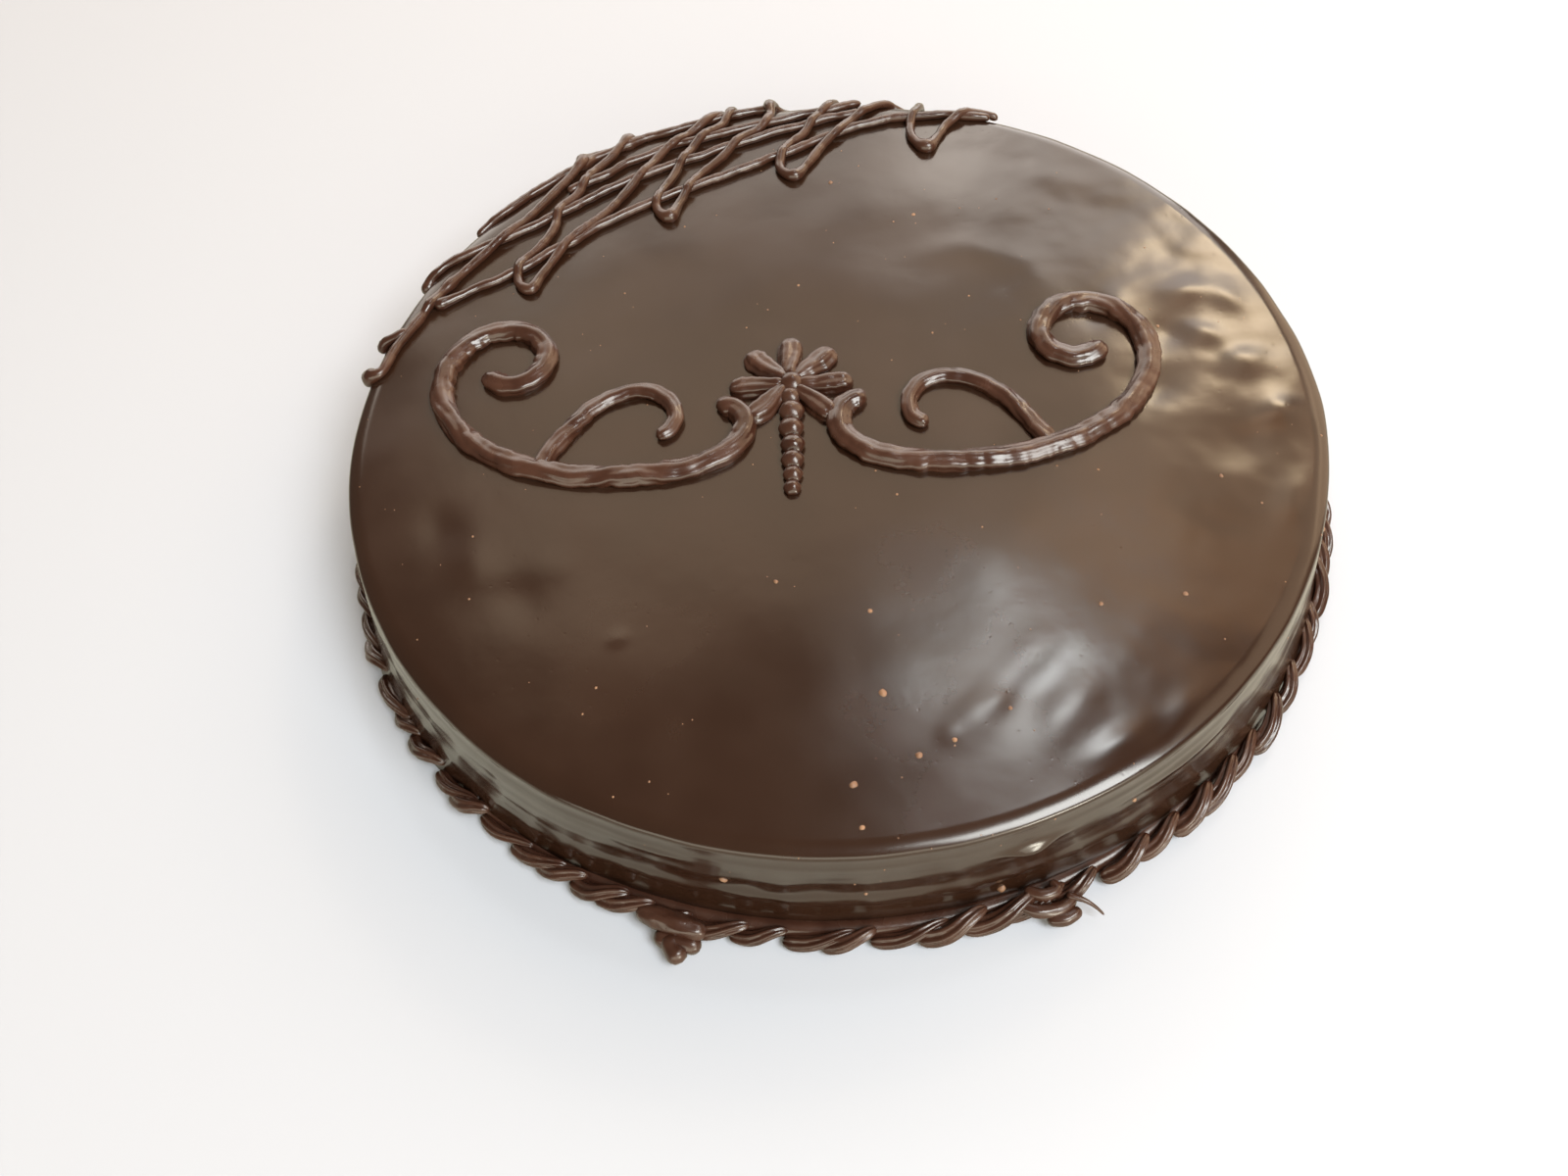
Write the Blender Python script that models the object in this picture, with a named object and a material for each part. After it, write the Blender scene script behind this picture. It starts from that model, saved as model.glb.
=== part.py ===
"""A round torte under a poured chocolate glaze, with piped chocolate on it.

Three pieces: the glazed cake with its thin piped lattice, the piped border round the foot, and the
piped flourish on the top. Metres, +Z up. The origin is the centre of the flat base, and +X runs to
the right of someone who looks at the cake from its front, which is -Y.
"""

import math

import bmesh
import bpy
from mathutils import Vector

MM = 0.001
MERGE = 0.01 * MM               # points closer than this are one point
SHARP_ANGLE = math.radians(70)  # edges that turn more than this stay crisp

# The glazed cake
CAKE_RADIUS = 122.5 * MM        # a 24 cm baking form and the glaze on it
CAKE_HEIGHT = 36.5 * MM
OFF_ROUND = 0.009               # share by which the hand-made round is longer along X
EDGE_ROUND = 5 * MM             # where the glaze rolls over the edge
TOP_UNEVEN = 0.4 * MM           # the top rises and falls by this
TOP_WAVE = 35 * MM
FOLD_DEPTH = 0.7 * MM           # glaze folds that run round the wall
FOLD_WIDTH = 2.1 * MM
FOLD_HEIGHTS = (23.5 * MM, 14.5 * MM)
FOLD_WANDER = 1.3 * MM
ROUND_STEPS = 64
WALL_ROW = 3.4 * MM             # steps of the half section: up the wall, across the top, round the edge
TOP_ROW = 23 * MM
EDGE_ROWS = 3

# The border piped round the foot
GAP = 0.3 * MM                  # room between two pieces that touch
STROKES = 76                    # piped strokes in the ring
SAMPLES_PER_STROKE = 4
BEAD_RADIUS = 3.7 * MM
BEAD_OUT = 4.4 * MM             # the bead's centre, out from the wall
BEAD_UP = 3.6 * MM
LOWEST = 0.4 * MM               # how near the bead comes to the table
STROKE_RELIEF = 0.9 * MM
STROKE_LEAN = 1.5               # strokes that one stroke spans between its foot and its top
BEAD_ANGLES = (112, 66, 18, -32)
FOOT_OUT = 7.2 * MM             # the border's outer foot, out from the wall
BORDER_TOP = 5.2 * MM           # where the border leaves the wall
NARROWEST = 0.6 * MM            # least thickness against the wall
DRIP_ANGLE = math.radians(249.2)  # the blob where the piping began
DRIP_REACH = 6.0 * MM
DRIP_FOOT = 0.9                 # share of its reach that the blob's foot has
DRIP_SPREAD = math.radians(1.7)

# The thin lattice at the back left
STRAND = 3.0 * MM
STRAND_SINK = 0.4 * MM          # how far a strand sinks into the glaze
LONG_STEP = 8.0 * MM
ZIGZAG_STEP = 3.6 * MM
CROSSING_LIFT = 1.5 * MM
CROSSING_REACH = 2.3 * MM
LOOP_HALF = 3.0 * MM            # half the width of the zigzag's inner turns
LOOP_RISE = 5.0 * MM
TURN_OUT = 2.0 * MM             # how far its outer turns swing past their ends
TURN_THICKER = 0.35             # chocolate gathers in the outer turns
STRAND_END = 0.7                # share of the width left at a strand's ends

# The flourish on the top
PIPED = 6.4 * MM                # width of the thick piped bead
PIPED_HEIGHT = 3.7 * MM
PIPED_STEP = 4.0 * MM
FLOURISH_AT = (-9 * MM, 2 * MM)
FLOURISH_TILT = math.radians(-5)
SCROLL_AT = (41, -22)           # the lowest point of a scroll, in mm from the flourish's middle
SCROLL_BEND = 0.012             # bend of its flat middle, in radians to the mm
INNER_ARM = (47, 0.215, 2.5)    # length in mm, bend added by the end, how late it comes
OUTER_ARM = (132, 0.132, 2.0)
TENDRIL_FROM = (64, -19)
TENDRIL = (60, 0.17, 1.6)
TENDRIL_HEADING = math.radians(118)
TENDRIL_WIDTH = 5.0 * MM
FLOWER_AT = (0, 5)
PETALS = 8                      # the place of the lowest one is left to the drops
PETAL = ((1.5, 3.4), (6.5, 5.6), (11.5, 7.0), (16.4, 4.8))    # way out and width, in mm
DROPS = ((0.9, 5.6), (-4, 6.6), (-9.4, 6.4), (-14.6, 6.0), (-19.4, 5.5), (-23.8, 5.0), (-27.8, 4.4))
DROP_SIDES = (6, 4)             # round a drop, and from its top to its bottom
BEAD_END = 0.6                  # share of the width left at a thick bead's ends

# Plan points of the lattice, in mm. Past the edge the distance runs on down the wall.
LONG_STRANDS = (
    ((-103, 50), (-80, 61), (-52, 77.5), (-30, 87), (-3, 97), (20, 106), (40, 108), (61, 104)),
    ((-109, 61), (-93, 70), (-74, 79), (-49.5, 92), (-25, 101), (0, 108.5), (23, 113)),
    ((-66, 91), (-52, 98), (-38, 105), (-22, 109), (-5, 112.5), (24, 117)),
    ((-93, 80), (-79, 91), (-69, 98), (-56, 105), (-43, 111), (-20, 117), (-3, 120)),
)
ZIGZAG_START = ((-121, 29), (-115, 31), (-99, 58), (-79, 79))
ZIGZAG_INNER = ((-77, 52), (-37, 75.5), (0.5, 87), (40, 93.5))
ZIGZAG_TURNS = (((-62, 104), (-48, 113)), ((-27, 115), (-15, 121)), ((-3, 121), (17, 122)),
                ((33, 118), (42, 117)))
ZIGZAG_END = (62, 104)

GLAZE = (0.052, 0.024, 0.014)
PIPING = (0.040, 0.017, 0.011)


def clear_scene():
    for thing in list(bpy.data.objects):
        bpy.data.objects.remove(thing)


def chocolate(name, colour, roughness):
    """A dark, slightly glossy chocolate."""
    made = bpy.data.materials.new(name)
    made.use_nodes = True
    shader = made.node_tree.nodes["Principled BSDF"]
    shader.inputs["Base Color"].default_value = (*colour, 1)
    shader.inputs["Roughness"].default_value = roughness
    shader.inputs["Metallic"].default_value = 0
    return made


def object_of(bm, name, material):
    """Closes a bmesh into a named, smooth-shaded object."""
    bmesh.ops.recalc_face_normals(bm, faces=bm.faces)
    mesh = bpy.data.meshes.new(name)
    bm.to_mesh(mesh)
    bm.free()
    mesh.shade_smooth()
    mesh.set_sharp_from_angle(angle=SHARP_ANGLE)
    mesh.materials.append(material)
    made = bpy.data.objects.new(name, mesh)
    bpy.context.scene.collection.objects.link(made)
    return made


def rim_radius(angle):
    """Plan radius of the wall, without its folds."""
    return CAKE_RADIUS * (1 + OFF_ROUND * math.cos(2 * angle))


def fold_depth(angle, z):
    """How far the wall is drawn in, between the folds of glaze that wander round it."""
    depth = 0.0
    for index, height in enumerate(FOLD_HEIGHTS):
        wander = math.sin(2 * angle + 1.5 * index) + 0.5 * math.sin(5 * angle - index)
        offset = (z - height - FOLD_WANDER * wander) / FOLD_WIDTH
        depth += FOLD_DEPTH * math.exp(-offset * offset)
    return depth


def top_height(x, y):
    """Height of the poured top."""
    return CAKE_HEIGHT + TOP_UNEVEN * math.sin(x / TOP_WAVE + 0.6) * math.cos(y / TOP_WAVE - 0.4)


def on_glaze(x, y, lift):
    """The point over plan place (x, y), lifted off the glaze, which rolls over the edge and down."""
    angle = math.atan2(y, x)
    flat = rim_radius(angle) - EDGE_ROUND
    past = math.hypot(x, y) - flat
    if past <= 0:
        return Vector((x, y, top_height(x, y) + lift))
    turn = min(past / EDGE_ROUND, math.pi / 2)
    down = max(0.0, past - EDGE_ROUND * math.pi / 2)
    radius = flat + (EDGE_ROUND + lift) * math.sin(turn)
    top = top_height(flat * math.cos(angle), flat * math.sin(angle))
    z = top - EDGE_ROUND + (EDGE_ROUND + lift) * math.cos(turn) - down
    return Vector((radius * math.cos(angle), radius * math.sin(angle), z))


def cake_profile():
    """Half section of a plain round cake, from the middle of the base to the middle of the top."""
    points = [(0.0, 0.0)]
    wall_top = CAKE_HEIGHT - EDGE_ROUND
    rows = math.ceil(wall_top / WALL_ROW)
    points += [(CAKE_RADIUS, wall_top * row / rows) for row in range(rows + 1)]
    for row in range(1, EDGE_ROWS + 1):
        turn = math.pi / 2 * row / EDGE_ROWS
        points.append((
            CAKE_RADIUS - EDGE_ROUND * (1 - math.cos(turn)),
            wall_top + EDGE_ROUND * math.sin(turn),
        ))
    flat = CAKE_RADIUS - EDGE_ROUND
    rings = math.ceil(flat / TOP_ROW)
    points += [(flat * (1 - ring / rings), CAKE_HEIGHT) for ring in range(1, rings + 1)]
    return points


def spun(bm, profile):
    """Turns a half section round Z and merges its seam and poles."""
    verts = [bm.verts.new((radius, 0, z)) for radius, z in profile]
    edges = [bm.edges.new(pair) for pair in zip(verts, verts[1:])]
    bmesh.ops.spin(
        bm, geom=verts + edges, cent=(0, 0, 0), axis=(0, 0, 1), angle=math.tau,
        steps=ROUND_STEPS, use_merge=True,
    )
    bmesh.ops.remove_doubles(bm, verts=bm.verts, dist=MERGE)


def make_cake(material):
    """The cake's own solid: a turned round, then pressed uneven as poured glaze sets."""
    bm = bmesh.new()
    spun(bm, cake_profile())
    for vert in bm.verts:
        x, y, z = vert.co
        angle = math.atan2(y, x)
        radius = math.hypot(x, y) * rim_radius(angle) / CAKE_RADIUS
        if math.hypot(x, y) > CAKE_RADIUS - MERGE and z > 0:
            radius -= fold_depth(angle, z)
        x, y = radius * math.cos(angle), radius * math.sin(angle)
        rise = (top_height(x, y) - CAKE_HEIGHT) * z / CAKE_HEIGHT
        vert.co = (x, y, z + rise)
    return object_of(bm, "glazed_cake", material)


def smooth_path(points, step):
    """A smooth curve through the points, as evenly spaced points about a step apart."""
    path = []
    ends = [points[0], *points, points[-1]]
    for before, start, end, after in zip(ends, ends[1:], ends[2:], ends[3:]):
        parts = max(1, round((end - start).length / step))
        for part in range(parts):
            t = part / parts
            path.append(0.5 * (
                2 * start + (end - before) * t
                + (2 * before - 5 * start + 4 * end - after) * t ** 2
                + (3 * start - before - 3 * end + after) * t ** 3
            ))
    return path + [points[-1]]


def plan(points):
    return [Vector((x * MM, y * MM)) for x, y in points]


def zigzag_plan():
    """Plan points of the zigzag: round an outer turn, back to an inner loop, and out again."""
    points = plan(ZIGZAG_START)
    leaves = [turn[0] for turn in ZIGZAG_TURNS[1:]] + [ZIGZAG_END]
    for turn, inner, following in zip(ZIGZAG_TURNS, ZIGZAG_INNER, leaves):
        leave, arrive, tip, away = plan((*turn, inner, following))
        middle = (leave + arrive) / 2
        points += [leave, middle + middle.normalized() * TURN_OUT, arrive]
        across = (away - arrive).normalized() * LOOP_HALF
        rise = ((arrive + away) / 2 - tip).normalized() * LOOP_RISE
        points += [tip - across + rise, tip, tip + across + rise]
    return points + plan([ZIGZAG_END])


def laid_over(path, others):
    """Lifts a strand where it crosses one that already lies there."""
    placed = []
    for point in path:
        near = min((point - other).length for other in others) / CROSSING_REACH
        lift = CROSSING_LIFT * math.exp(-near * near)
        placed.append(on_glaze(point.x, point.y, STRAND / 2 - STRAND_SINK + lift))
    return placed


def tube(name, points, widths, material):
    """A round bead of chocolate along a path, six-sided and closed at its ends."""
    curve = bpy.data.curves.new(name, "CURVE")
    curve.dimensions = "3D"
    curve.bevel_depth = 1
    curve.bevel_resolution = 1
    curve.use_fill_caps = True
    spline = curve.splines.new("POLY")
    spline.points.add(len(points) - 1)
    for place, point, width in zip(spline.points, points, widths):
        place.co = (*point, 1)
        place.radius = width / 2
    guide = bpy.data.objects.new(name, curve)
    bpy.context.scene.collection.objects.link(guide)
    bpy.context.view_layer.update()
    shape = guide.evaluated_get(bpy.context.evaluated_depsgraph_get())
    bm = bmesh.new()
    bm.from_mesh(bpy.data.meshes.new_from_object(shape))
    bpy.data.objects.remove(guide)
    bmesh.ops.remove_doubles(bm, verts=bm.verts, dist=MERGE)
    return object_of(bm, name, material)


def with_ends(count, width, end):
    """The same width all along, but narrower at both ends."""
    return [width * end] + [width] * (count - 2) + [width * end]


def fuse(base, others):
    """Joins the others into the base with one Boolean union, and creases where materials meet."""
    group = bpy.data.collections.new(base.name + "_extras")
    bpy.context.scene.collection.children.link(group)
    for other in others:
        group.objects.link(other)
    union = base.modifiers.new("union", "BOOLEAN")
    union.operation = "UNION"
    union.operand_type = "COLLECTION"
    union.collection = group
    union.solver = "EXACT"
    union.material_mode = "TRANSFER"
    bpy.context.view_layer.update()
    shape = base.evaluated_get(bpy.context.evaluated_depsgraph_get())
    base.data = bpy.data.meshes.new_from_object(shape)
    base.modifiers.clear()
    bm = bmesh.new()
    bm.from_mesh(base.data)
    for edge in bm.edges:
        first, second = edge.link_faces
        if first.material_index != second.material_index:
            edge.smooth = False
    bm.to_mesh(base.data)
    bm.free()
    for other in others:
        bpy.data.objects.remove(other)
    bpy.data.collections.remove(group)


def make_lattice(cake, material):
    """Four long strands and a zigzag over them, fused to the glaze that they set on."""
    paths = [smooth_path(plan(points), LONG_STEP) for points in LONG_STRANDS]
    lift = STRAND / 2 - STRAND_SINK
    strands = []
    for index, path in enumerate(paths):
        points = [on_glaze(p.x, p.y, lift) for p in path]
        widths = with_ends(len(path), STRAND, STRAND_END)
        strands.append(tube(f"strand_{index}", points, widths, material))
    zigzag = smooth_path(zigzag_plan(), ZIGZAG_STEP)
    turns = [sum(plan(turn), Vector((0, 0))) / 2 for turn in ZIGZAG_TURNS]
    widths = []
    for point in zigzag:
        near = min((point - turn).length for turn in turns) / (2 * LOOP_HALF)
        widths.append(STRAND * (1 + TURN_THICKER * math.exp(-near * near)))
    strands.append(tube("zigzag", laid_over(zigzag, sum(paths, [])), widths, material))
    fuse(cake, strands)


def drip_reach(angle):
    """How far the first blob of piping runs out of the ring."""
    away = math.remainder(angle - DRIP_ANGLE, math.tau) / DRIP_SPREAD
    return DRIP_REACH * math.exp(-away * away)


def border_section(angle):
    """Half section of the border: inner foot, inner top, the leaning strokes, outer foot."""
    wall = rim_radius(angle)
    drip = drip_reach(angle)
    points = [
        (wall + GAP, 0.0),
        (wall - fold_depth(angle, BORDER_TOP) + GAP, BORDER_TOP),
    ]
    for index, degrees in enumerate(BEAD_ANGLES):
        round_to = math.radians(degrees)
        up_the_bead = 1 - index / (len(BEAD_ANGLES) - 1)
        phase = STROKES * angle - math.tau * STROKE_LEAN * up_the_bead
        relief = STROKE_RELIEF * math.cos(phase)
        radius = BEAD_RADIUS + relief
        out = BEAD_OUT + radius * math.cos(round_to) + drip * (1 - up_the_bead)
        up = max(LOWEST, BEAD_UP + radius * math.sin(round_to))
        points.append((wall + max(out, GAP + NARROWEST), up))
    foot_relief = STROKE_RELIEF * math.cos(STROKES * angle)
    points.append((wall + FOOT_OUT + foot_relief + DRIP_FOOT * drip, 0.0))
    return points


def make_border(material):
    """A closed ring of leaning strokes: its sections are set round Z and bridged."""
    bm = bmesh.new()
    steps = STROKES * SAMPLES_PER_STROKE
    loops = []
    for step in range(steps):
        angle = math.tau * step / steps
        turn = Vector((math.cos(angle), math.sin(angle), 0))
        verts = [bm.verts.new(turn * radius + Vector((0, 0, z)))
                 for radius, z in border_section(angle)]
        loops.append([bm.edges.new(pair) for pair in zip(verts, verts[1:] + verts[:1])])
    for loop, following in zip(loops, loops[1:] + loops[:1]):
        bmesh.ops.bridge_loops(bm, edges=loop + following)
    return object_of(bm, "piped_border", material)


def curl(start, heading, bend, arm):
    """Plan points of an arm, in mm, that bends more and more tightly until it curls up."""
    length, added, late = arm
    steps = round(length * MM / PIPED_STEP)
    place, points = Vector(start), []
    for step in range(steps):
        heading += (bend + added * ((step + 0.5) / steps) ** late) * length / steps
        place = place + Vector((math.cos(heading), math.sin(heading))) * length / steps
        points.append(place)
    return points


def scroll():
    """A scroll lying on its back: flat in the middle and curled up at both ends."""
    middle = Vector(SCROLL_AT)
    inner = curl((0, 0), 0, SCROLL_BEND, INNER_ARM)
    outer = curl((0, 0), 0, SCROLL_BEND, OUTER_ARM)
    left = [middle + Vector((-p.x, p.y)) for p in reversed(inner)]
    return left + [middle] + [middle + p for p in outer]


def flourish_beads():
    """The flourish's beads, each as a plan path in mm and the widths along it."""
    beads = []
    arms = [(scroll(), PIPED)]
    arms.append(([Vector(TENDRIL_FROM)] + curl(TENDRIL_FROM, TENDRIL_HEADING, 0, TENDRIL),
                 TENDRIL_WIDTH))
    for path, width in arms:
        for side in (-1, 1):
            mirrored = [Vector((side * p.x, p.y)) for p in path]
            beads.append((mirrored, with_ends(len(path), width, BEAD_END)))
    for petal in range(PETALS):
        if petal == PETALS // 2:
            continue
        way = math.pi / 2 + math.tau * petal / PETALS
        ray = Vector((math.cos(way), math.sin(way)))
        beads.append(([Vector(FLOWER_AT) + ray * out for out, _ in PETAL],
                      [width * MM for _, width in PETAL]))
    return beads


def flourish_place(point):
    """A point of the flourish's own plan, in mm, set on the cake's plan."""
    c, s = math.cos(FLOURISH_TILT), math.sin(FLOURISH_TILT)
    x, y = point * MM
    return Vector((FLOURISH_AT[0] + x * c - y * s, FLOURISH_AT[1] + x * s + y * c))


def drop(name, height, width, material):
    """A round drop at a height of the flourish's plan and a width, both in mm."""
    place = flourish_place(Vector((0, height)))
    bm = bmesh.new()
    around, down = DROP_SIDES
    bmesh.ops.create_uvsphere(bm, u_segments=around, v_segments=down, radius=width * MM / 2)
    rise = top_height(place.x, place.y) + PIPED_HEIGHT - width * MM / 2
    bmesh.ops.translate(bm, verts=bm.verts, vec=(place.x, place.y, rise))
    return object_of(bm, name, material)


def make_flourish(material):
    """The thick piped ornament, united and then settled on the glaze with a flat underside."""
    parts = []
    for index, (path, widths) in enumerate(flourish_beads()):
        lift = PIPED_HEIGHT - max(widths) / 2
        placed = [flourish_place(point) for point in path]
        points = [Vector((p.x, p.y, top_height(p.x, p.y) + lift)) for p in placed]
        name = "piped_flourish" if index == 0 else f"bead_{index}"
        parts.append(tube(name, points, widths, material))
    parts += [drop(f"drop_{index}", *size, material) for index, size in enumerate(DROPS)]
    fuse(parts[0], parts[1:])
    for vert in parts[0].data.vertices:
        vert.co.z = max(vert.co.z, top_height(vert.co.x, vert.co.y) + GAP)


def main():
    clear_scene()
    glaze = chocolate("chocolate_glaze", GLAZE, 0.28)
    piping = chocolate("piped_chocolate", PIPING, 0.33)
    cake = make_cake(glaze)
    make_lattice(cake, piping)
    make_border(piping)
    make_flourish(piping)


main()
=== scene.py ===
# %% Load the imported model
import random
from math import atan2, ceil, cos, exp, hypot, pi, radians, remainder, sin, sqrt, tau

import bmesh
import bpy
from mathutils import Matrix, Vector, noise


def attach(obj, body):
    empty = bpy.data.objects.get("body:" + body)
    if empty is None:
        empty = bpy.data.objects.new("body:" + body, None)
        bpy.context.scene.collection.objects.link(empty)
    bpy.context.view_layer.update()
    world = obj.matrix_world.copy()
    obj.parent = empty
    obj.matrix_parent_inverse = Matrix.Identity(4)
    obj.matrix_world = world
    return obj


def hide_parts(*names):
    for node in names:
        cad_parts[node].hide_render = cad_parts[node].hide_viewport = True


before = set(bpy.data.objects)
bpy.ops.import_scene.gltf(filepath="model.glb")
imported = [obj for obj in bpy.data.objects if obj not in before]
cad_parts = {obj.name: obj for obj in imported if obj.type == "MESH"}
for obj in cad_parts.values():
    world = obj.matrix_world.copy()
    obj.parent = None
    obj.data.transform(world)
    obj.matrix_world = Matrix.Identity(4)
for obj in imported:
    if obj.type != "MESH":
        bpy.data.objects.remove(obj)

MM = 0.001
SCENE = bpy.context.scene
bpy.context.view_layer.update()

# %% [markdown]
# The cake is a low round under poured chocolate. Its glaze could be sculpted by hand, or spun from
# a half section and then pushed about by functions. The functions win here: the same ones also say
# where a strand or a crumb lies, so nothing floats above the glaze or drowns in it.

# %% The size of the round, as the solids have it
CAKE_RADIUS = 122.5 * MM
CAKE_HEIGHT = 36.5 * MM
OFF_ROUND = 0.009
SETTLED = 0.3 * MM
TOP_UNEVEN = 0.4 * MM
TOP_WAVE = 35 * MM
QUARTER = pi / 2
UP = Vector((0, 0, 1))


def rim_radius(angle):
    """Plan radius of the wall, without its folds."""
    return CAKE_RADIUS * (1 + OFF_ROUND * cos(2 * angle))


def outward(angle):
    """The level way out from the middle at an angle."""
    return Vector((cos(angle), sin(angle), 0))


print("across", round(2 * rim_radius(0) / MM, 1), "by", round(2 * rim_radius(QUARTER) / MM, 1), "mm")

# %% [markdown]
# A poured top is never flat. It has slow waves from the spatula, and small dents and ridges where
# the glaze began to set while it was still being moved. A few of these show plainly, so they are
# listed by place; the rest is smooth noise, which gives the reflections their soft wobble.

# %% Dents and ridges of the top
MARKS = (
    # x, y, half length, half width, turn in degrees, height; lengths in mm
    (73, 21, 4.5, 3.5, 80, -0.50),
    (79, 23, 4.5, 3.5, 80, 0.30),
    (89, 11, 6.5, 5, 50, -0.50),
    (83, -7, 7, 5, 20, -0.35),
    (98, 25, 6, 4, 20, 0.45),
    (108, 22, 5, 4, 100, 0.35),
    (98, 10.5, 5, 3.6, 150, 0.38),
    (106, -1, 5, 4.5, 30, 0.45),
    (110, -18, 5, 4.5, 40, 0.50),
    (98, -27, 8, 6, 30, -0.30),
    (105, -45, 8, 5, 60, 0.50),
    (97, 42, 9, 5, 120, -0.14),
    (60, 38, 10, 5, 95, 0.20),
    (49, 48, 10, 5, 150, 0.20),
    (36, 50, 9, 5, 185, 0.14),
    (44, 33, 12, 9, 40, -0.14),
    (66, 84, 12, 5, 150, -0.14),
    (78, 72, 12, 5, 140, 0.20),
    (86, 58, 12, 6, 120, -0.13),
    (23, -90, 9, 4.2, 38, 0.20),
    (34, -86, 10, 5, 42, -0.16),
    (41, -93, 10, 4.6, 48, 0.24),
    (36, -78, 8, 4.2, 40, 0.16),
    (50, -101, 8, 3, 27, 0.26),
    (66, -94, 6, 2.6, 36, 0.18),
    (59, -100, 4, 3, 30, -0.16),
    (15, -94.5, 2.4, 1.7, 20, 0.10),
    (27, -88, 2.6, 1.7, 35, 0.08),
    (-55, -62, 2, 1.8, 0, 0.22),
    (-88, -38, 9, 5, 120, 0.24),
    (-78, -48, 8, 5, 130, -0.24),
    (-97, -26, 8, 5, 110, -0.24),
    (-70, -40, 7, 5, 150, 0.14),
    (-60, -80, 22, 9, 150, -0.20),
    (8, 66, 20, 9, 20, 0.14),
    (-6, -40, 26, 12, 170, 0.12),
)
MARK_REACH = 3  # half lengths past which a mark no longer counts


def marks_at(x, y):
    """Height that the listed dents and ridges add at a plan place."""
    height = 0.0
    for mark_x, mark_y, length, width, turn, rise in MARKS:
        away_x, away_y = x / MM - mark_x, y / MM - mark_y
        if hypot(away_x, away_y) > MARK_REACH * length:
            continue
        c, s = cos(radians(turn)), sin(radians(turn))
        u = (away_x * c + away_y * s) / length
        v = (away_y * c - away_x * s) / width
        height += rise * MM * exp(-u * u - v * v)
    return height


print(len(MARKS), "marks")

# %% The poured top
# height and length of the spatula's slow waves, the ripples and the small dimples
WAVE, WAVE_LENGTH = 0.26 * MM, 31 * MM
RIPPLE, RIPPLE_LENGTH = 0.15 * MM, 13 * MM
DIMPLE, DIMPLE_LENGTH = 0.07 * MM, 5 * MM
CALM = 0.3  # share of the ripples that the calm left half has
RESTLESS_FROM, RESTLESS_OVER = 30 * MM, 50 * MM


def top_height(x, y):
    """Height of the poured top over a plan place."""
    slow = TOP_UNEVEN * sin(x / TOP_WAVE + 0.6) * cos(y / TOP_WAVE - 0.4)
    wave = WAVE * noise.noise(Vector((x, y, 0)) / WAVE_LENGTH)
    restless = CALM + (1 - CALM) * min(1.0, max(0.0, (x - RESTLESS_FROM) / RESTLESS_OVER))
    ripple = RIPPLE * restless * noise.noise(Vector((x, y, 5 * MM)) / RIPPLE_LENGTH)
    dimple = DIMPLE * (restless - CALM) * noise.noise(Vector((x, y, 9 * MM)) / DIMPLE_LENGTH)
    return CAKE_HEIGHT - SETTLED + slow + wave + ripple + dimple + marks_at(x, y)


print("top at the middle", round(top_height(0, 0) / MM, 2), "mm")

# %% [markdown]
# The rim is a soft shoulder that ends in a tight corner, and that corner is what draws the thin
# bright line round the cake. Both are arcs, so a formula says how far out and down the glaze is at
# any way along it.

# %% The rounded edge
RIM_IN = 1.3 * MM
RIM_BACK = 0.4 * MM
SHOULDER = 8.0 * MM
CORNER = 1.5 * MM
SHOULDER_TURN = radians(28)
SHOULDER_LENGTH = SHOULDER * SHOULDER_TURN
EDGE_LENGTH = SHOULDER_LENGTH + CORNER * (QUARTER - SHOULDER_TURN)
RIM_STRAY, RIM_TREMBLE = 0.45 * MM, 0.16 * MM


def top_shift(angle):
    """How much further out than the middle radius the rim is; the top lies a little to the back."""
    return rim_radius(angle) - CAKE_RADIUS + RIM_BACK * sin(angle)


def edge_wobble(angle):
    """The rim is drawn by hand, so it strays from a true round."""
    turned = outward(angle)
    return RIM_STRAY * noise.noise(turned * 3.5) + RIM_TREMBLE * noise.noise(turned * 11)


def edge_profile(past):
    """How far out and down the edge is, and its slope, at a way past the flat of the top."""
    slope = min(max(past, 0.0) / SHOULDER, SHOULDER_TURN)
    out, down = SHOULDER * sin(slope), SHOULDER * (1 - cos(slope))
    if past > SHOULDER_LENGTH:
        slope = min(SHOULDER_TURN + (past - SHOULDER_LENGTH) / CORNER, QUARTER)
        out += CORNER * (sin(slope) - sin(SHOULDER_TURN))
        down += CORNER * (cos(SHOULDER_TURN) - cos(slope))
    return out, down + max(0.0, past - EDGE_LENGTH), slope


EDGE_OUT, EDGE_DOWN, _ = edge_profile(EDGE_LENGTH)
FLAT = CAKE_RADIUS - RIM_IN - EDGE_OUT
WALL_TOP = CAKE_HEIGHT - SETTLED - EDGE_DOWN

print("flat of the top", round(FLAT / MM, 1), "mm, top of the wall", round(WALL_TOP / MM, 1), "mm")

# %% [markdown]
# Down the wall the glaze hangs in flat folds that wander round the cake, deepest in front, and the
# wall leans out towards its foot. Finer folds run nearly level, so their noise is stretched far
# along the wall and only a little up it.

# %% Folds of the wall
FOLDS = (
    # height, depth, width above, width below in mm, how often it wanders round, where it starts
    (18.0, 0.75, 4.2, 2.8, 2, 1.5),
    (10.0, 0.50, 1.3, 3.6, 3, 0.4),
)
WALL_MARKS = (
    # angle in degrees, height, half length, half height, how far out in mm
    (284, 25.0, 5.2, 1.5, 1.9),
    (246, 27.0, 6.0, 1.5, 0.3),
    (303, 26.0, 9.0, 1.6, 0.4),
)
WANDER = 1.2  # how far the folds stray up and down, in mm, in long waves
SCALLOP = 1.7  # and how much more than that in short ones
FRONT = radians(264)  # the folds are deep round here
FRONT_SPREAD = 0.42
SHALLOW, DEEPER = 0.15, 0.75  # their depth all round, and what the front adds
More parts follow.
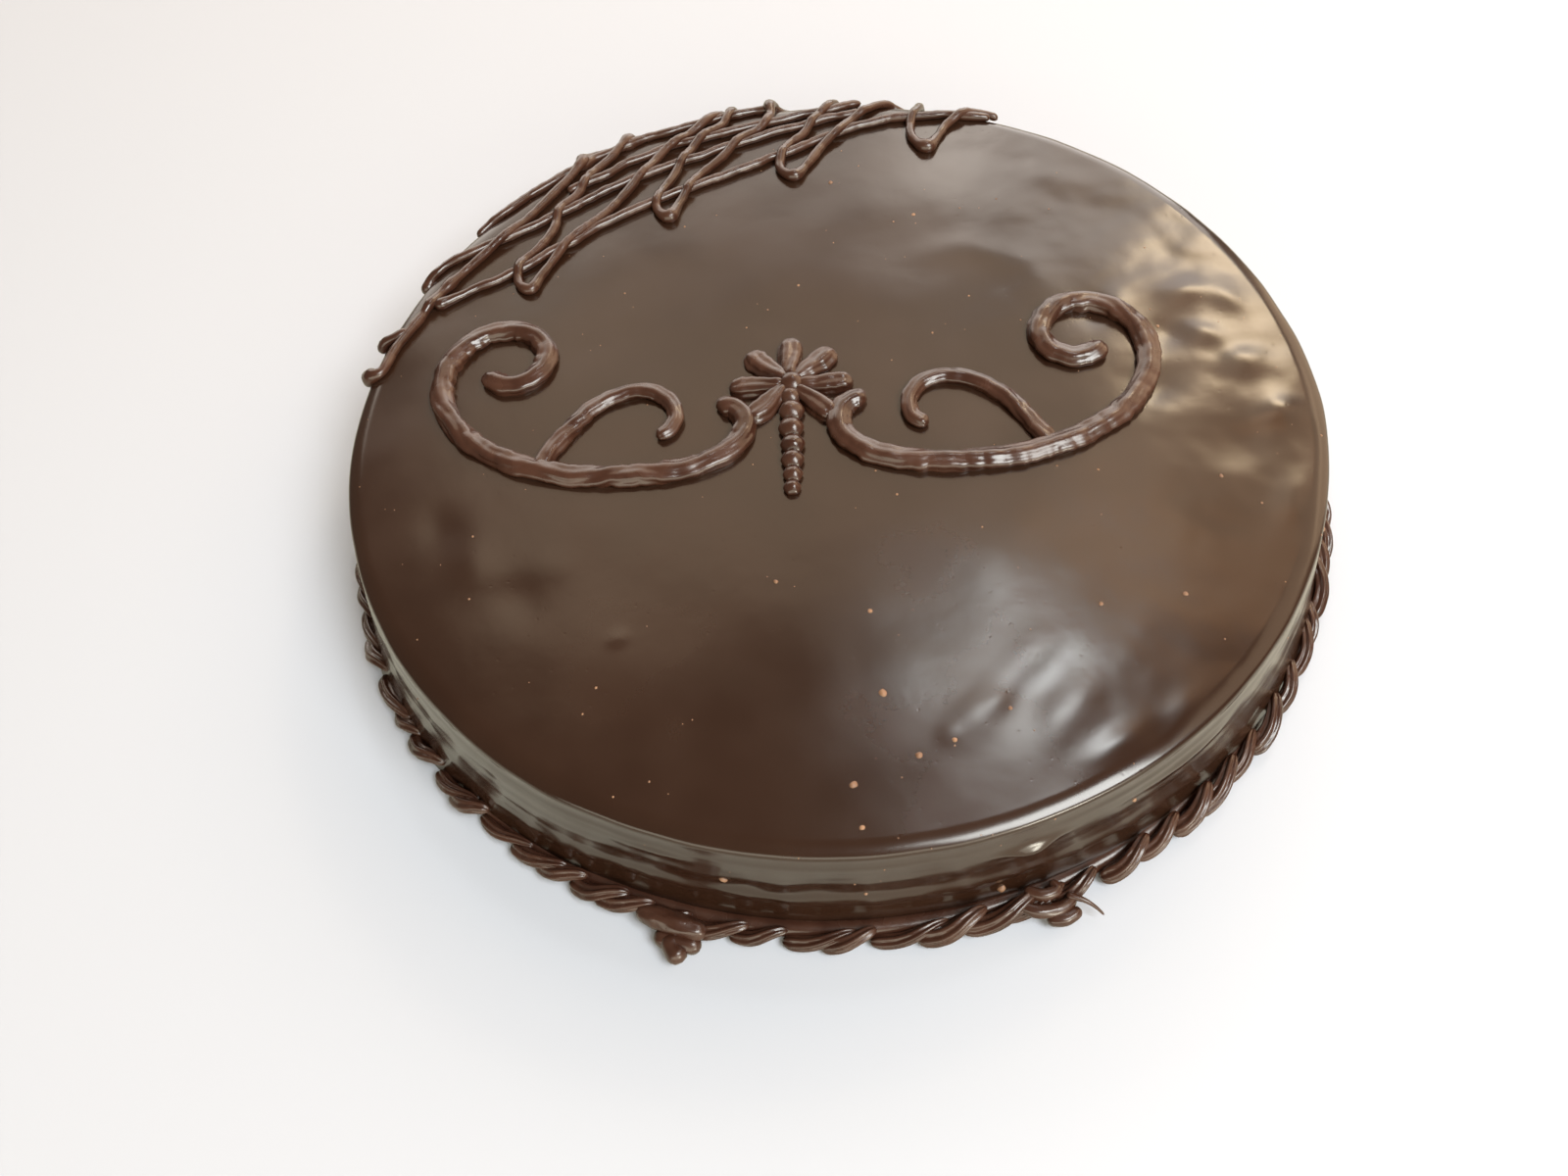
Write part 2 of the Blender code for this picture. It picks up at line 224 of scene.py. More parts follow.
# depth of the level streaks, the broad swells and the upright curtain of the wall
STREAK, SWELL, CURTAIN = 0.07 * MM, 0.18 * MM, 0.10 * MM
WALL_LEAN = 0.085
SIDE_LEAN = 0.11
SIDE_FLARE = 1.6 * MM
FLARE_HEIGHT = 15 * MM


def wall_in(angle, z):
    """How far the wall is drawn in at an angle and a height; less than nothing where it swells."""
    sideways = cos(angle) ** 2
    depth = -(WALL_LEAN + SIDE_LEAN * sideways) * (WALL_TOP - z)
    depth -= SIDE_FLARE * sideways * max(0.0, 1 - z / FLARE_HEIGHT) ** 2
    turned = outward(angle)
    for height, deep, above, below, waves, start in FOLDS:
        wander = sin(waves * angle + start) + 0.5 * sin(5 * angle - start)
        wander += SCALLOP * noise.noise(turned * 15 + Vector((0, 0, start)))
        offset = z / MM - height - WANDER * wander
        front = exp(-(remainder(angle - FRONT, tau) / FRONT_SPREAD) ** 2)
        patchy = 1 + 0.6 * noise.noise(turned * 5 + Vector((start, 0, 0)))
        strength = (SHALLOW + DEEPER * front) * patchy
        depth += deep * MM * strength * exp(-(offset / (above if offset > 0 else below)) ** 2)
    for place, height, length, tall, out in WALL_MARKS:
        u = remainder(angle - radians(place), tau) * CAKE_RADIUS / MM / length
        v = (z / MM - height) / tall
        depth -= out * MM * exp(-u * u - v * v)
    fine = noise.noise(turned * 4.2 + Vector((0, 0, z / (2.6 * MM))))
    broad = noise.noise(turned * 3.0 + Vector((3, 0, z / (7 * MM))))
    curtain = noise.noise(turned * 26 + Vector((0, 7, z / (16 * MM))))
    return depth + STREAK * fine + SWELL * broad + CURTAIN * curtain


print("the foot lies", round(-wall_in(0, 0) / MM, 1), "mm further out than the top of the wall")

# %% Points on the glaze
TOP_FADES_OVER = 14 * MM  # past the flat, the top's waves die out over this
WALL_SETS_IN = 4 * MM  # past the corner, its folds set in over this


def glaze_point(angle, along, lift=0.0):
    """The point that lies so far along the glaze from the middle of the top, lifted off it."""
    turned = outward(angle)
    past = along - top_shift(angle) - FLAT
    out, down, slope = edge_profile(past)
    radius = along if past <= 0 else along - past + out
    uneven_top = top_height(radius * turned.x, radius * turned.y) - CAKE_HEIGHT + SETTLED
    z = CAKE_HEIGHT - SETTLED + uneven_top * min(1.0, max(0.0, 1 - past / TOP_FADES_OVER)) - down
    if past > 0:
        radius += edge_wobble(angle) * min(1.0, past / SHOULDER_LENGTH)
        set_in = min(1.0, max(0.0, past - EDGE_LENGTH) / WALL_SETS_IN)
        radius -= wall_in(angle, WALL_TOP + EDGE_DOWN - down) * set_in
    return turned * (radius + lift * sin(slope)) + Vector((0, 0, z + lift * cos(slope)))


def on_glaze(x, y, lift=0.0):
    """The point of the glaze over plan place (x, y); past the edge the way runs on down the wall."""
    return glaze_point(atan2(y, x), hypot(x, y), lift)


print("straight out, 10 cm along:", on_glaze(100 * MM, 0))

# %% [markdown]
# Every piece ends in the same few steps: merge what coincides, point the faces outwards, smooth the
# shading, hang it on the root and hide the imported part it stands for. One helper does it for all of
# them.

# %% Helpers that place an object and finish a piece
MERGE = 0.004 * MM


def place_object(name, data):
    """A new object in the scene."""
    made = bpy.data.objects.new(name, data)
    SCENE.collection.objects.link(made)
    return made


def finish_piece(bm, name, material, node):
    """Makes a bmesh a piece of the cake that stands for a node."""
    bmesh.ops.remove_doubles(bm, verts=bm.verts, dist=MERGE)
    bmesh.ops.dissolve_degenerate(bm, edges=bm.edges, dist=MERGE)
    bmesh.ops.recalc_face_normals(bm, faces=bm.faces)
    mesh = bpy.data.meshes.new(name)
    bm.to_mesh(mesh)
    bm.free()
    mesh.shade_smooth()
    mesh.materials.append(material)
    piece = place_object(name, mesh)
    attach(piece, "root")
    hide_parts(node)
    top = max(vert.co.z for vert in mesh.vertices) / MM
    print(name, len(mesh.polygons), "faces, top at", round(top, 2), "mm")
    return piece


# %% [markdown]
# Chocolate is one dark brown, but never quite even: fat and sugar lie a little paler in soft
# clouds, and the surface is glossier in some places than in others. Both kinds of chocolate need
# this, so it is a node group: two browns and a scale go in, a colour and a mask come out.

# %% Helpers for shader nodes
def new_group(name, inputs, outputs):
    """An empty shader node group with named sockets."""
    group = bpy.data.node_groups.new(name, "ShaderNodeTree")
    for way, sockets in (("INPUT", inputs), ("OUTPUT", outputs)):
        for label, kind in sockets.items():
            group.interface.new_socket(name=label, in_out=way, socket_type="NodeSocket" + kind)
    return group, group.nodes.new("NodeGroupInput"), group.nodes.new("NodeGroupOutput")


def noise_node(tree, detail, roughness=0.5):
    """A Noise texture on the object's own coordinates."""
    place = tree.nodes.new("ShaderNodeTexCoord")
    texture = tree.nodes.new("ShaderNodeTexNoise")
    texture.inputs["Detail"].default_value = detail
    texture.inputs["Roughness"].default_value = roughness
    tree.links.new(place.outputs["Object"], texture.inputs["Vector"])
    return texture


def ranged(tree, value, low, high, out_low=0.0, out_high=1.0):
    """Maps a value from one range to another, and holds it there."""
    node = tree.nodes.new("ShaderNodeMapRange")
    node.interpolation_type = "SMOOTHSTEP"
    ends = {"From Min": low, "From Max": high, "To Min": out_low, "To Max": out_high}
    for label, number in ends.items():
        node.inputs[label].default_value = number
    tree.links.new(value, node.inputs["Value"])
    return node.outputs["Result"]


def worked(tree, operation, one, other):
    """Two values added or multiplied."""
    node = tree.nodes.new("ShaderNodeMath")
    node.operation = operation
    tree.links.new(one, node.inputs[0])
    tree.links.new(other, node.inputs[1])
    return node.outputs[0]


# %% The node group for chocolate tones
def make_tones():
    """Soft clouds of a paler brown in a deeper one, with a fine grain over them."""
    group, given, result = new_group(
        "Chocolate tones", {"Deep": "Color", "Pale": "Color", "Scale": "Float"},
        {"Color": "Color", "Cloud": "Float"})
    clouds = noise_node(group, 3)
    group.links.new(given.outputs["Scale"], clouds.inputs["Scale"])
    grain = noise_node(group, 2)
    grain.inputs["Scale"].default_value = 900
    cloud = ranged(group, clouds.outputs["Fac"], 0.3, 0.7, 0.05, 0.95)
    fine = ranged(group, grain.outputs["Fac"], 0.2, 0.8, -0.05, 0.05)
    mix = group.nodes.new("ShaderNodeMix")
    mix.data_type = "RGBA"  # its sockets 6 and 7 are the two colours, and 2 is the mixed one
    group.links.new(worked(group, "ADD", cloud, fine), mix.inputs["Factor"])
    group.links.new(given.outputs["Deep"], mix.inputs[6])
    group.links.new(given.outputs["Pale"], mix.inputs[7])
    group.links.new(mix.outputs[2], result.inputs["Color"])
    group.links.new(cloud, result.inputs["Cloud"])
    return group


TONES = make_tones()
print("group", TONES.name)

# %% [markdown]
# Set chocolate has a skin: very low waves that blur its reflections, and tiny pits where bubbles
# burst. They are too small to model, so they are a height that a Bump node turns into slopes.

# %% The node group for the skin
def make_skin():
    """Low waves and burst bubbles, as a height."""
    group, given, result = new_group(
        "Set skin", {"Wave scale": "Float", "Pit scale": "Float", "Pits": "Float"},
        {"Height": "Float"})
    wave = noise_node(group, 2, 0.45)
    group.links.new(given.outputs["Wave scale"], wave.inputs["Scale"])
    place = group.nodes.new("ShaderNodeTexCoord")
    bubbles = group.nodes.new("ShaderNodeTexVoronoi")
    group.links.new(place.outputs["Object"], bubbles.inputs["Vector"])
    group.links.new(given.outputs["Pit scale"], bubbles.inputs["Scale"])
    pit = ranged(group, bubbles.outputs["Distance"], 0.0, 0.16, -1.0, 0.0)
    deep = worked(group, "MULTIPLY", pit, given.outputs["Pits"])
    total = worked(group, "ADD", wave.outputs["Fac"], deep)
    group.links.new(total, result.inputs["Height"])
    return group


SKIN = make_skin()
print("group", SKIN.name)

# %% [markdown]
# The poured glaze is satin rather than mirror bright: light from the room lies on it as soft pale
# fields. Base colour stays dark, and the paleness comes from reflection alone, as on the real one.

# %% Materials of the glaze and the piped chocolate
def toned(name, deep, pale, scale, shine):
    """A material with two tones, and a gloss that varies with them."""
    made = bpy.data.materials.new(name)
    made.use_nodes = True
    tree = made.node_tree
    shader = tree.nodes["Principled BSDF"]
    tones = tree.nodes.new("ShaderNodeGroup")
    tones.node_tree = TONES
    tones.inputs["Deep"].default_value = (*deep, 1)
    tones.inputs["Pale"].default_value = (*pale, 1)
    tones.inputs["Scale"].default_value = scale
    tree.links.new(tones.outputs["Color"], shader.inputs["Base Color"])
    tree.links.new(ranged(tree, tones.outputs["Cloud"], 0, 1, *shine), shader.inputs["Roughness"])
    return made


def chocolate(name, deep, pale, scale, shine, skin, bump):
    """A toned material with the warm gloss and the skin of chocolate."""
    made = toned(name, deep, pale, scale, shine)
    tree = made.node_tree
    shader = tree.nodes["Principled BSDF"]
    shader.inputs["IOR"].default_value = 1.5
    shader.inputs["Specular Tint"].default_value = (1.0, 0.93, 0.84, 1)
    surface = tree.nodes.new("ShaderNodeGroup")
    surface.node_tree = SKIN
    for label, value in zip(("Wave scale", "Pit scale", "Pits"), skin):
        surface.inputs[label].default_value = value
    relief = tree.nodes.new("ShaderNodeBump")
    relief.inputs["Strength"].default_value = bump[0]
    relief.inputs["Distance"].default_value = bump[1]
    tree.links.new(surface.outputs["Height"], relief.inputs["Height"])
    tree.links.new(relief.outputs["Normal"], shader.inputs["Normal"])
    return made


GLAZE = chocolate("poured_glaze", (0.0185, 0.0070, 0.0035), (0.0265, 0.0110, 0.0058), 26,
                  (0.16, 0.21), (160, 320, 0.4), (0.22, 0.15 * MM))
PIPED = chocolate("piped_chocolate", (0.032, 0.0108, 0.0060), (0.056, 0.021, 0.0115), 110,
                  (0.20, 0.30), (420, 500, 0.6), (0.35, 0.15 * MM))
print("materials", GLAZE.name, PIPED.name)

# %% [markdown]
# The glaze itself: one half section, from the middle of the base out, up the wall, round the edge
# and back to the middle of the top, spun a full turn. Rows are close together on the wall, where
# the folds are, and each vertex is then carried to its place on the poured surface.

# %% The glazed cake
SPIN_STEPS = 520
TOP_ROW = 1.5 * MM
EDGE_ROWS = 18
WALL_ROW = 0.6 * MM


def half_section():
    """Ways along the glaze at which it has a row of points, from the foot to the middle of the top."""
    walls = round(WALL_TOP / WALL_ROW)
    wall = [FLAT + EDGE_LENGTH + WALL_TOP * row / walls for row in range(walls, 0, -1)]
    edge = [FLAT + EDGE_LENGTH * row / EDGE_ROWS for row in range(EDGE_ROWS, 0, -1)]
    rings = ceil(FLAT / TOP_ROW)
    return wall + edge + [FLAT * (1 - ring / rings) for ring in range(rings + 1)]


def make_glaze():
    """A flat chain of points, one for each row, spun into a disc and then laid over the cake."""
    bm = bmesh.new()
    ways = half_section()
    verts = [bm.verts.new((way, 0, 0)) for way in [0.0, ways[0] * 0.5] + ways]
    for vert in verts[:2]:
        vert.co.z = -1  # marks the underside, which stays flat on the table
    edges = [bm.edges.new(pair) for pair in zip(verts, verts[1:])]
    bmesh.ops.spin(bm, geom=verts + edges, cent=(0, 0, 0), axis=UP, angle=tau,
                   steps=SPIN_STEPS, use_merge=True)
    bmesh.ops.remove_doubles(bm, verts=bm.verts, dist=MERGE)
    for vert in bm.verts:
        angle = atan2(vert.co.y, vert.co.x)
        way = hypot(vert.co.x, vert.co.y)
        if vert.co.z < 0:
            vert.co.z = 0
            continue
        vert.co = glaze_point(angle, way + top_shift(angle) * min(1.0, way / FLAT))
        vert.co.z = max(vert.co.z, 0.0)
    return finish_piece(bm, "poured_glaze", GLAZE, "glazed_cake")


make_glaze()

# %% [markdown]
# All piped chocolate is a bead laid along a path. A curve with a round bevel would do for a plain
# one, but a bead from a star nozzle has ridges, swells where the hand slows down, and lies on a
# surface that bends away. So a bead is a flat grid rolled up into a tube: one side of the grid runs
# along the path, the other round the bead, and a function says how far out each vertex lies.

# %% Paths
def smooth_path(points, step):
    """A smooth curve through the points, as points about a step apart."""
    path = []
    ends = [points[0], *points, points[-1]]
    for before, start, end, after in zip(ends, ends[1:], ends[2:], ends[3:]):
        parts = max(1, round((end - start).length / step))
        for part in range(parts):
            t = part / parts
            path.append(0.5 * (
                2 * start + (end - before) * t
                + (2 * before - 5 * start + 4 * end - after) * t ** 2
                + (3 * start - before - 3 * end + after) * t ** 3
            ))
    return path + [points[-1]]


def plan(points):
    """Plan points given in mm, in metres."""
    return [Vector((x * MM, y * MM)) for x, y in points]


def travelled(points):
    """How far along the path each of its points lies."""
    total, out = 0.0, [0.0]
    for one, other in zip(points, points[1:]):
        total += (other - one).length
        out.append(total)
    return out


def hand(way, length, seed, kind):
    """Smooth noise along a bead; each seed and kind gives another run of it."""
    return noise.noise(Vector((way / length, seed, kind)))


def along_list(pairs):
    """A width that runs through (way, width) pairs, as a function of the share of the way."""
    first, last = pairs[0][0], pairs[-1][0]

    def width_at(share):
        way = first + (last - first) * share
        for (before, one), (after, other) in zip(pairs, pairs[1:]):
            if way <= after:
                return one + (other - one) * (way - before) / (after - before)
        return pairs[-1][1]

    return width_at


def rounded_end(way, total, reach):
    """1 along a bead, falling to 0 at its ends as a ball's outline does."""
    near = min(way, total - way) / reach
    return sqrt(max(0.0, 1 - (1 - near) ** 2)) if near < 1 else 1.0


bend = smooth_path(plan(((0, 0), (10, 5), (20, 0))), MM)
print("three points become", len(bend), "over", round(travelled(bend)[-1] / MM, 1), "mm")

# %% Beads rolled from a grid
def roll(bm, stations, around, section):
    """Rolls a grid round the stations (centre, side, up); section(index, turn) gives half sizes."""
    grid = bmesh.ops.create_grid(bm, x_segments=len(stations) - 1, y_segments=around, size=0.5)
    for vert in grid["verts"]:
        index = round((vert.co.x + 0.5) * (len(stations) - 1))
        turn = (vert.co.y + 0.5) * tau
        centre, side, up = stations[index]
        half_side, half_up = section(index, turn)
        vert.co = centre + side * (half_side * sin(turn)) + up * (half_up * cos(turn))
    bmesh.ops.remove_doubles(bm, verts=grid["verts"], dist=MERGE)


def frames(centres, ups):
    """Stations with a side and an up that stand square to the path."""
    stations = []
    for index, centre in enumerate(centres):
        before, after = centres[max(0, index - 1)], centres[min(len(centres) - 1, index + 1)]
        tangent = (after - before).normalized()
        side = tangent.cross(ups[index]).normalized()
        stations.append((centre, side, side.cross(tangent).normalized()))
    return stations


print("first station of the bend:", frames([point.to_3d() for point in bend], [UP] * len(bend))[0])

# %% [markdown]
# The thin lattice was drizzled last and from a small hole: four long strands along the back left
# edge, then a zigzag over them that swings out past the edge and comes back in narrow loops. Where
# it crosses a strand it rides up over it and sags between. Wherever the hand turned, the chocolate
# gathered in a blob. The course is a short list of plan points; past the edge, the distance from
# the middle runs on down the wall, so a blob can hang over the side.

# %% Where the lattice runs
STRAND = 3.0 * MM
STRAND_SINK = 0.4 * MM
CROSSING_LIFT = 1.1 * MM
CROSSING_REACH = 2.3 * MM
LONG_STRANDS = (
    ((-103, 50), (-80, 61), (-52, 77.5), (-30, 87), (-3, 97), (20, 106), (40, 108), (61, 104)),
    ((-109, 61), (-93, 70), (-74, 79), (-49.5, 92), (-25, 101), (0, 108.5), (23, 113)),
    ((-66, 91), (-52, 98), (-38, 105), (-22, 109), (-5, 112.5), (24, 117)),
    ((-93, 80), (-79, 91), (-69, 98), (-56, 105), (-43, 111), (-20, 117), (-3, 120)),
)
ZIGZAG = (
    (-121, 29), (-116, 28), (-112, 37), (-105, 49), (-99, 58), (-88, 70), (-79.5, 79), (-70, 91),
    (-61.5, 101.5), (-60, 105), (-50, 111), (-46.8, 111.5), (-52, 104.5), (-59, 97), (-63, 89),
    (-68, 83.5), (-70, 76), (-74, 69), (-79, 63), (-79.8, 56), (-76.5, 52.8), (-73.2, 58),
    (-66, 69), (-57, 77.5), (-50, 86), (-43, 95.5), (-37, 103.5), (-31, 109), (-24, 115),
    (-15, 121.5), (-19, 113.5), (-25, 108.5), (-30.5, 101), (-34.5, 93), (-38.8, 85.5),
    (-40.2, 79.5), (-36.8, 75.7), (-33.2, 81.5), (-28, 90.5), (-20, 98.7), (-14, 105.5),
    (-7, 110.5), (-4, 116), (-3, 121), (8, 124.5), (17, 123), (14, 117), (9, 111.5), (5, 105.5),
    (0, 101), (-2.8, 95.5), (-3.2, 90.2), (0.5, 87.2), (4.6, 91.5), (10, 99), (15.5, 104.5),
    (21, 110), (28, 115), (36, 117.5), (42, 118), (40.5, 112), (37.4, 106), (36.6, 98.5),
    (40, 93.6), (44, 97.5), (48, 103), (55, 106.5), (63, 104),
)
BLOBS = (
    # x, y, how much wider than the strand
    (-117, 38.5, 0.5), (-119.5, 28.6, 0.9), (-61, 103, 0.6), (-47.5, 111, 0.7), (-15, 121, 0.6),
    (-3, 120.5, 0.7), (17, 122.5, 0.7), (41.5, 117.5, 0.6), (-76.5, 53, 0.35), (-36.8, 76, 0.6),
    (0.5, 87.5, 0.5), (40, 94, 0.55), (-99, 58, 0.3), (-107.5, 62, 0.6), (-102, 50.5, 0.35),
)
BLOB_REACH = 2.4 * MM
STUB = ((-109.5, 42), (-113, 40), (-118, 39))
TIP = ((-5, 119), (-5.5, 121.5), (-5, 124.5))
ZIGZAG_PATH = smooth_path(plan(ZIGZAG), 0.7 * MM)
LONG_PATHS = [smooth_path(plan(points), 0.9 * MM) for points in LONG_STRANDS]
laid = sum(travelled(path)[-1] for path in LONG_PATHS + [ZIGZAG_PATH])
print("lattice", round(laid / MM), "mm of strand")

# %% A strand of the lattice
STRAND_SIDES = 14
LONG_SHARE, ZIGZAG_SHARE, STUB_SHARE = 0.88, 0.86, 0.8  # widths, as shares of STRAND
STRAND_WIDER, STRAND_LOWER = 1.04, 0.94
LUMP, LUMP_LENGTH = 0.07, 1.8 * MM
SLOW_SWELL, SLOW_LENGTH = 0.16, 7 * MM
QUICK_SWELL, QUICK_LENGTH = 0.16 * 0.7, 2.4 * MM
HAND_STRAY, HAND_LENGTH = 0.8 * MM, 8 * MM


def lay_strand(bm, path, widths, lifts):
    """Rolls a strand on the glaze, a little wider than high; each point has a width and a lift."""
    lifted = [STRAND / 2 - STRAND_SINK + lift for lift in lifts]
    centres = [on_glaze(p.x, p.y, lift) for p, lift in zip(path, lifted)]
    above = [on_glaze(p.x, p.y, lift + MM) for p, lift in zip(path, lifted)]
    ups = [(high - low).normalized() for high, low in zip(above, centres)]

    def section(index, turn):
        there = centres[index] / LUMP_LENGTH + Vector((sin(turn), cos(turn), 0))
        half = widths[index] / 2 * (1 + LUMP * noise.noise(there))
        return STRAND_WIDER * half, STRAND_LOWER * half

    roll(bm, frames(centres, ups), STRAND_SIDES, section)


def wavering(path, seed, amount):
    """A path whose points stray a little to either side, as a hand does."""
    strayed = []
    for way, point in zip(travelled(path), path):
        stray = Vector((hand(way, HAND_LENGTH, seed, 0), hand(way, HAND_LENGTH, seed, 5)))
        strayed.append(point + stray * amount)
    return strayed


def strand_widths(path, share, seed):
    """A strand swells and thins, is round at its ends and fatter where a blob gathered."""
    ways, width, out = travelled(path), STRAND * share, []
    for point, way in zip(path, ways):
        wide = width * (1 + SLOW_SWELL * hand(way, SLOW_LENGTH, seed, 0)
                        + QUICK_SWELL * hand(way, QUICK_LENGTH, seed, 7))
        wide *= rounded_end(way, ways[-1], width * 0.7)
        for x, y, more in BLOBS:
            near = (point - Vector((x, y)) * MM).length / BLOB_REACH
            wide *= 1 + more * exp(-near * near)
        out.append(wide)
    return out


def crossing_lift(point, under):
    """How far a strand is lifted where it lies over another."""
    near = min((point - other).length for other in under) / CROSSING_REACH
    return CROSSING_LIFT * exp(-near * near)


wide = max(strand_widths(ZIGZAG_PATH, ZIGZAG_SHARE, 11))
print("the zigzag is up to", round(wide / MM, 1), "mm wide")

# %% Lay the lattice
def make_lattice():
    """The long strands, the zigzag over them, a stub at its start and a thin tip over the edge."""
    bm = bmesh.new()
    long_paths = [wavering(path, seed, HAND_STRAY) for seed, path in enumerate(LONG_PATHS)]
    for seed, path in enumerate(long_paths):
        lay_strand(bm, path, strand_widths(path, LONG_SHARE, seed), [0.0] * len(path))
    under = [point for path in long_paths for point in path[::2]]
    lifts = [crossing_lift(point, under) for point in ZIGZAG_PATH]
    lay_strand(bm, ZIGZAG_PATH, strand_widths(ZIGZAG_PATH, ZIGZAG_SHARE, 11), lifts)
    stub = smooth_path(plan(STUB), 0.5 * MM)
    lay_strand(bm, stub, strand_widths(stub, STUB_SHARE, 15), [0.3 * MM] * len(stub))
    tip = smooth_path(plan(TIP), 0.5 * MM)
    thin = [1.8 * MM * (1 - 0.85 * index / (len(tip) - 1)) for index in range(len(tip))]
    rising = [0.4 * MM + 0.6 * MM * index / len(tip) for index in range(len(tip))]
    lay_strand(bm, tip, thin, rising)
    return finish_piece(bm, "drizzled_lattice", PIPED, "glazed_cake")


make_lattice()

# %% [markdown]
# Round the foot runs a piped border. From the side it reads as a rope: each stroke starts as a fat
# head at the foot, then climbs and thins towards the wall, and lies against the next one. A ring
# with a twisted section would be too even, so every stroke is a bead of its own with the grooves of
# a star nozzle, its own size and its own slant, over a plain ring that fills what lies behind them.

# %% A stroke of the border
STROKES = 84
ROPE_OUT = 4.2 * MM
ROPE_UP = 3.6 * MM
ROPE_HALF = 1.9 * MM
STROKE_LENGTH = 17 * MM
HEAD_WIDTH = 4.7 * MM
TAIL_WIDTH = 2.5 * MM
STROKE_TURN = (-62, 118)  # where round the rope a stroke starts and ends, in degrees
NOSE, TIP_SHARE = 0.20, 0.18  # shares of a stroke that its round nose and its tip take up
NARROWS = 1.6  # how late a stroke narrows
STROKE_TWIST = 0.9
STROKE_STATIONS = 26
STROKE_SIDES = 36
STAR_POINTS = 6


def by_the_wall(angle, out, up):
    """A point so far out from the wall and up from the table."""
    radius = rim_radius(angle) + out
    return Vector((radius * cos(angle), radius * sin(angle), up))


def star(turn, depth, points=STAR_POINTS):
    """The outline of a star nozzle's bead, as a share of its radius: round lobes, sharp grooves."""
    return 1 - depth * (1 - abs(cos(points * turn / 2)))


def pipe_stroke(bm, start, size, length, groove, turned, slant):
    """One stroke of the rope, from its head at the foot to its tail by the wall."""
    first, last = (radians(a) for a in STROKE_TURN)
    centres, ups, widths = [], [], []
    for index in range(STROKE_STATIONS + 1):
        t = index / STROKE_STATIONS
        swing = first + (last - first) * (slant * t + (1 - slant) * t * t * (3 - 2 * t))
        out = ROPE_OUT + ROPE_HALF * size * cos(swing)
        up = ROPE_UP * size + ROPE_HALF * size * sin(swing)
        centres.append(by_the_wall(start + length / CAKE_RADIUS * t, out, up))
        ups.append(Vector((cos(start), sin(start), 1.0)).normalized())
        nose = sqrt(max(0.0, 1 - (1 - min(1.0, t / NOSE)) ** 2))
        tip = sqrt(max(0.0, 1 - max(0.0, (t - 1 + TIP_SHARE) / TIP_SHARE) ** 2))
        widths.append((HEAD_WIDTH + (TAIL_WIDTH - HEAD_WIDTH) * t ** NARROWS) * size * nose * tip)

    def section(index, turn):
        t = index / STROKE_STATIONS
        half = widths[index] / 2 * star(turn + turned + STROKE_TWIST * t, groove)
        return half, half

    roll(bm, frames(centres, ups), STROKE_SIDES, section)


print("a groove of 0.4 leaves", round(star(pi / STAR_POINTS, 0.4), 2), "of the radius")

# %% The piped border
BORDER_REACH = 8.55 * MM
BORDER_SUNK = 0.8 * MM
LOWEST = 0.05 * MM
LUMPY_AT, LUMPY_SPREAD = radians(222), 0.5  # smaller, shorter strokes at the front left
CORE_OUT = 2.0 * MM
CORE_HALF = (2.2 * MM, 2.0 * MM)
CORE_STEPS, CORE_SIDES = 288, 12
# how the strokes differ in pitch, size, length and depth of groove
PITCHES, SIZES, LENGTHS, GROOVES = (0.68, 1.32), (0.82, 1.14), (0.70, 1.15), (0.28, 0.42)


def keep_by_the_foot(bm):
    """Presses what lies below the table or out of the ring back to where it can lie."""
    for vert in bm.verts:
        angle = atan2(vert.co.y, vert.co.x)
        radius = hypot(vert.co.x, vert.co.y)
        kept = min(max(radius, rim_radius(angle) - BORDER_SUNK), rim_radius(angle) + BORDER_REACH)
        vert.co = (kept * cos(angle), kept * sin(angle), max(vert.co.z, LOWEST))


def make_border():
    """Strokes of uneven size and pitch all the way round, over a plain ring that fills behind them."""
    rng = random.Random(7)
    bm = bmesh.new()
    angle = 0.0
    pitches = [rng.uniform(*PITCHES) for _ in range(STROKES)]
    for pitch in pitches:
        angle += tau * pitch / sum(pitches)
        lumpy = exp(-((remainder(angle - LUMPY_AT, tau) / LUMPY_SPREAD) ** 2))
        size = rng.uniform(*SIZES) - 0.12 * lumpy * rng.random()
        length = STROKE_LENGTH * rng.uniform(*LENGTHS) * (1 - 0.2 * lumpy * rng.random())
        pipe_stroke(bm, angle, size, length, rng.uniform(*GROOVES), rng.uniform(0, tau),
                    rng.uniform(0.2, 1.0))
    turns = [tau * index / CORE_STEPS for index in range(CORE_STEPS + 1)]
    ring = [(by_the_wall(turn, CORE_OUT, CORE_OUT), outward(turn), UP) for turn in turns]
    roll(bm, ring, CORE_SIDES, lambda index, turn: CORE_HALF)
    keep_by_the_foot(bm)
    return finish_piece(bm, "rope_border", PIPED, "piped_border")


make_border()

# %% [markdown]
# The border began at the front left: a long plain bead lies there along the foot, and a blob of
# chocolate ran out in front of it. Where the ring was closed, at the front right, the nozzle left a
# small knot and a thin wisp as it was pulled away.

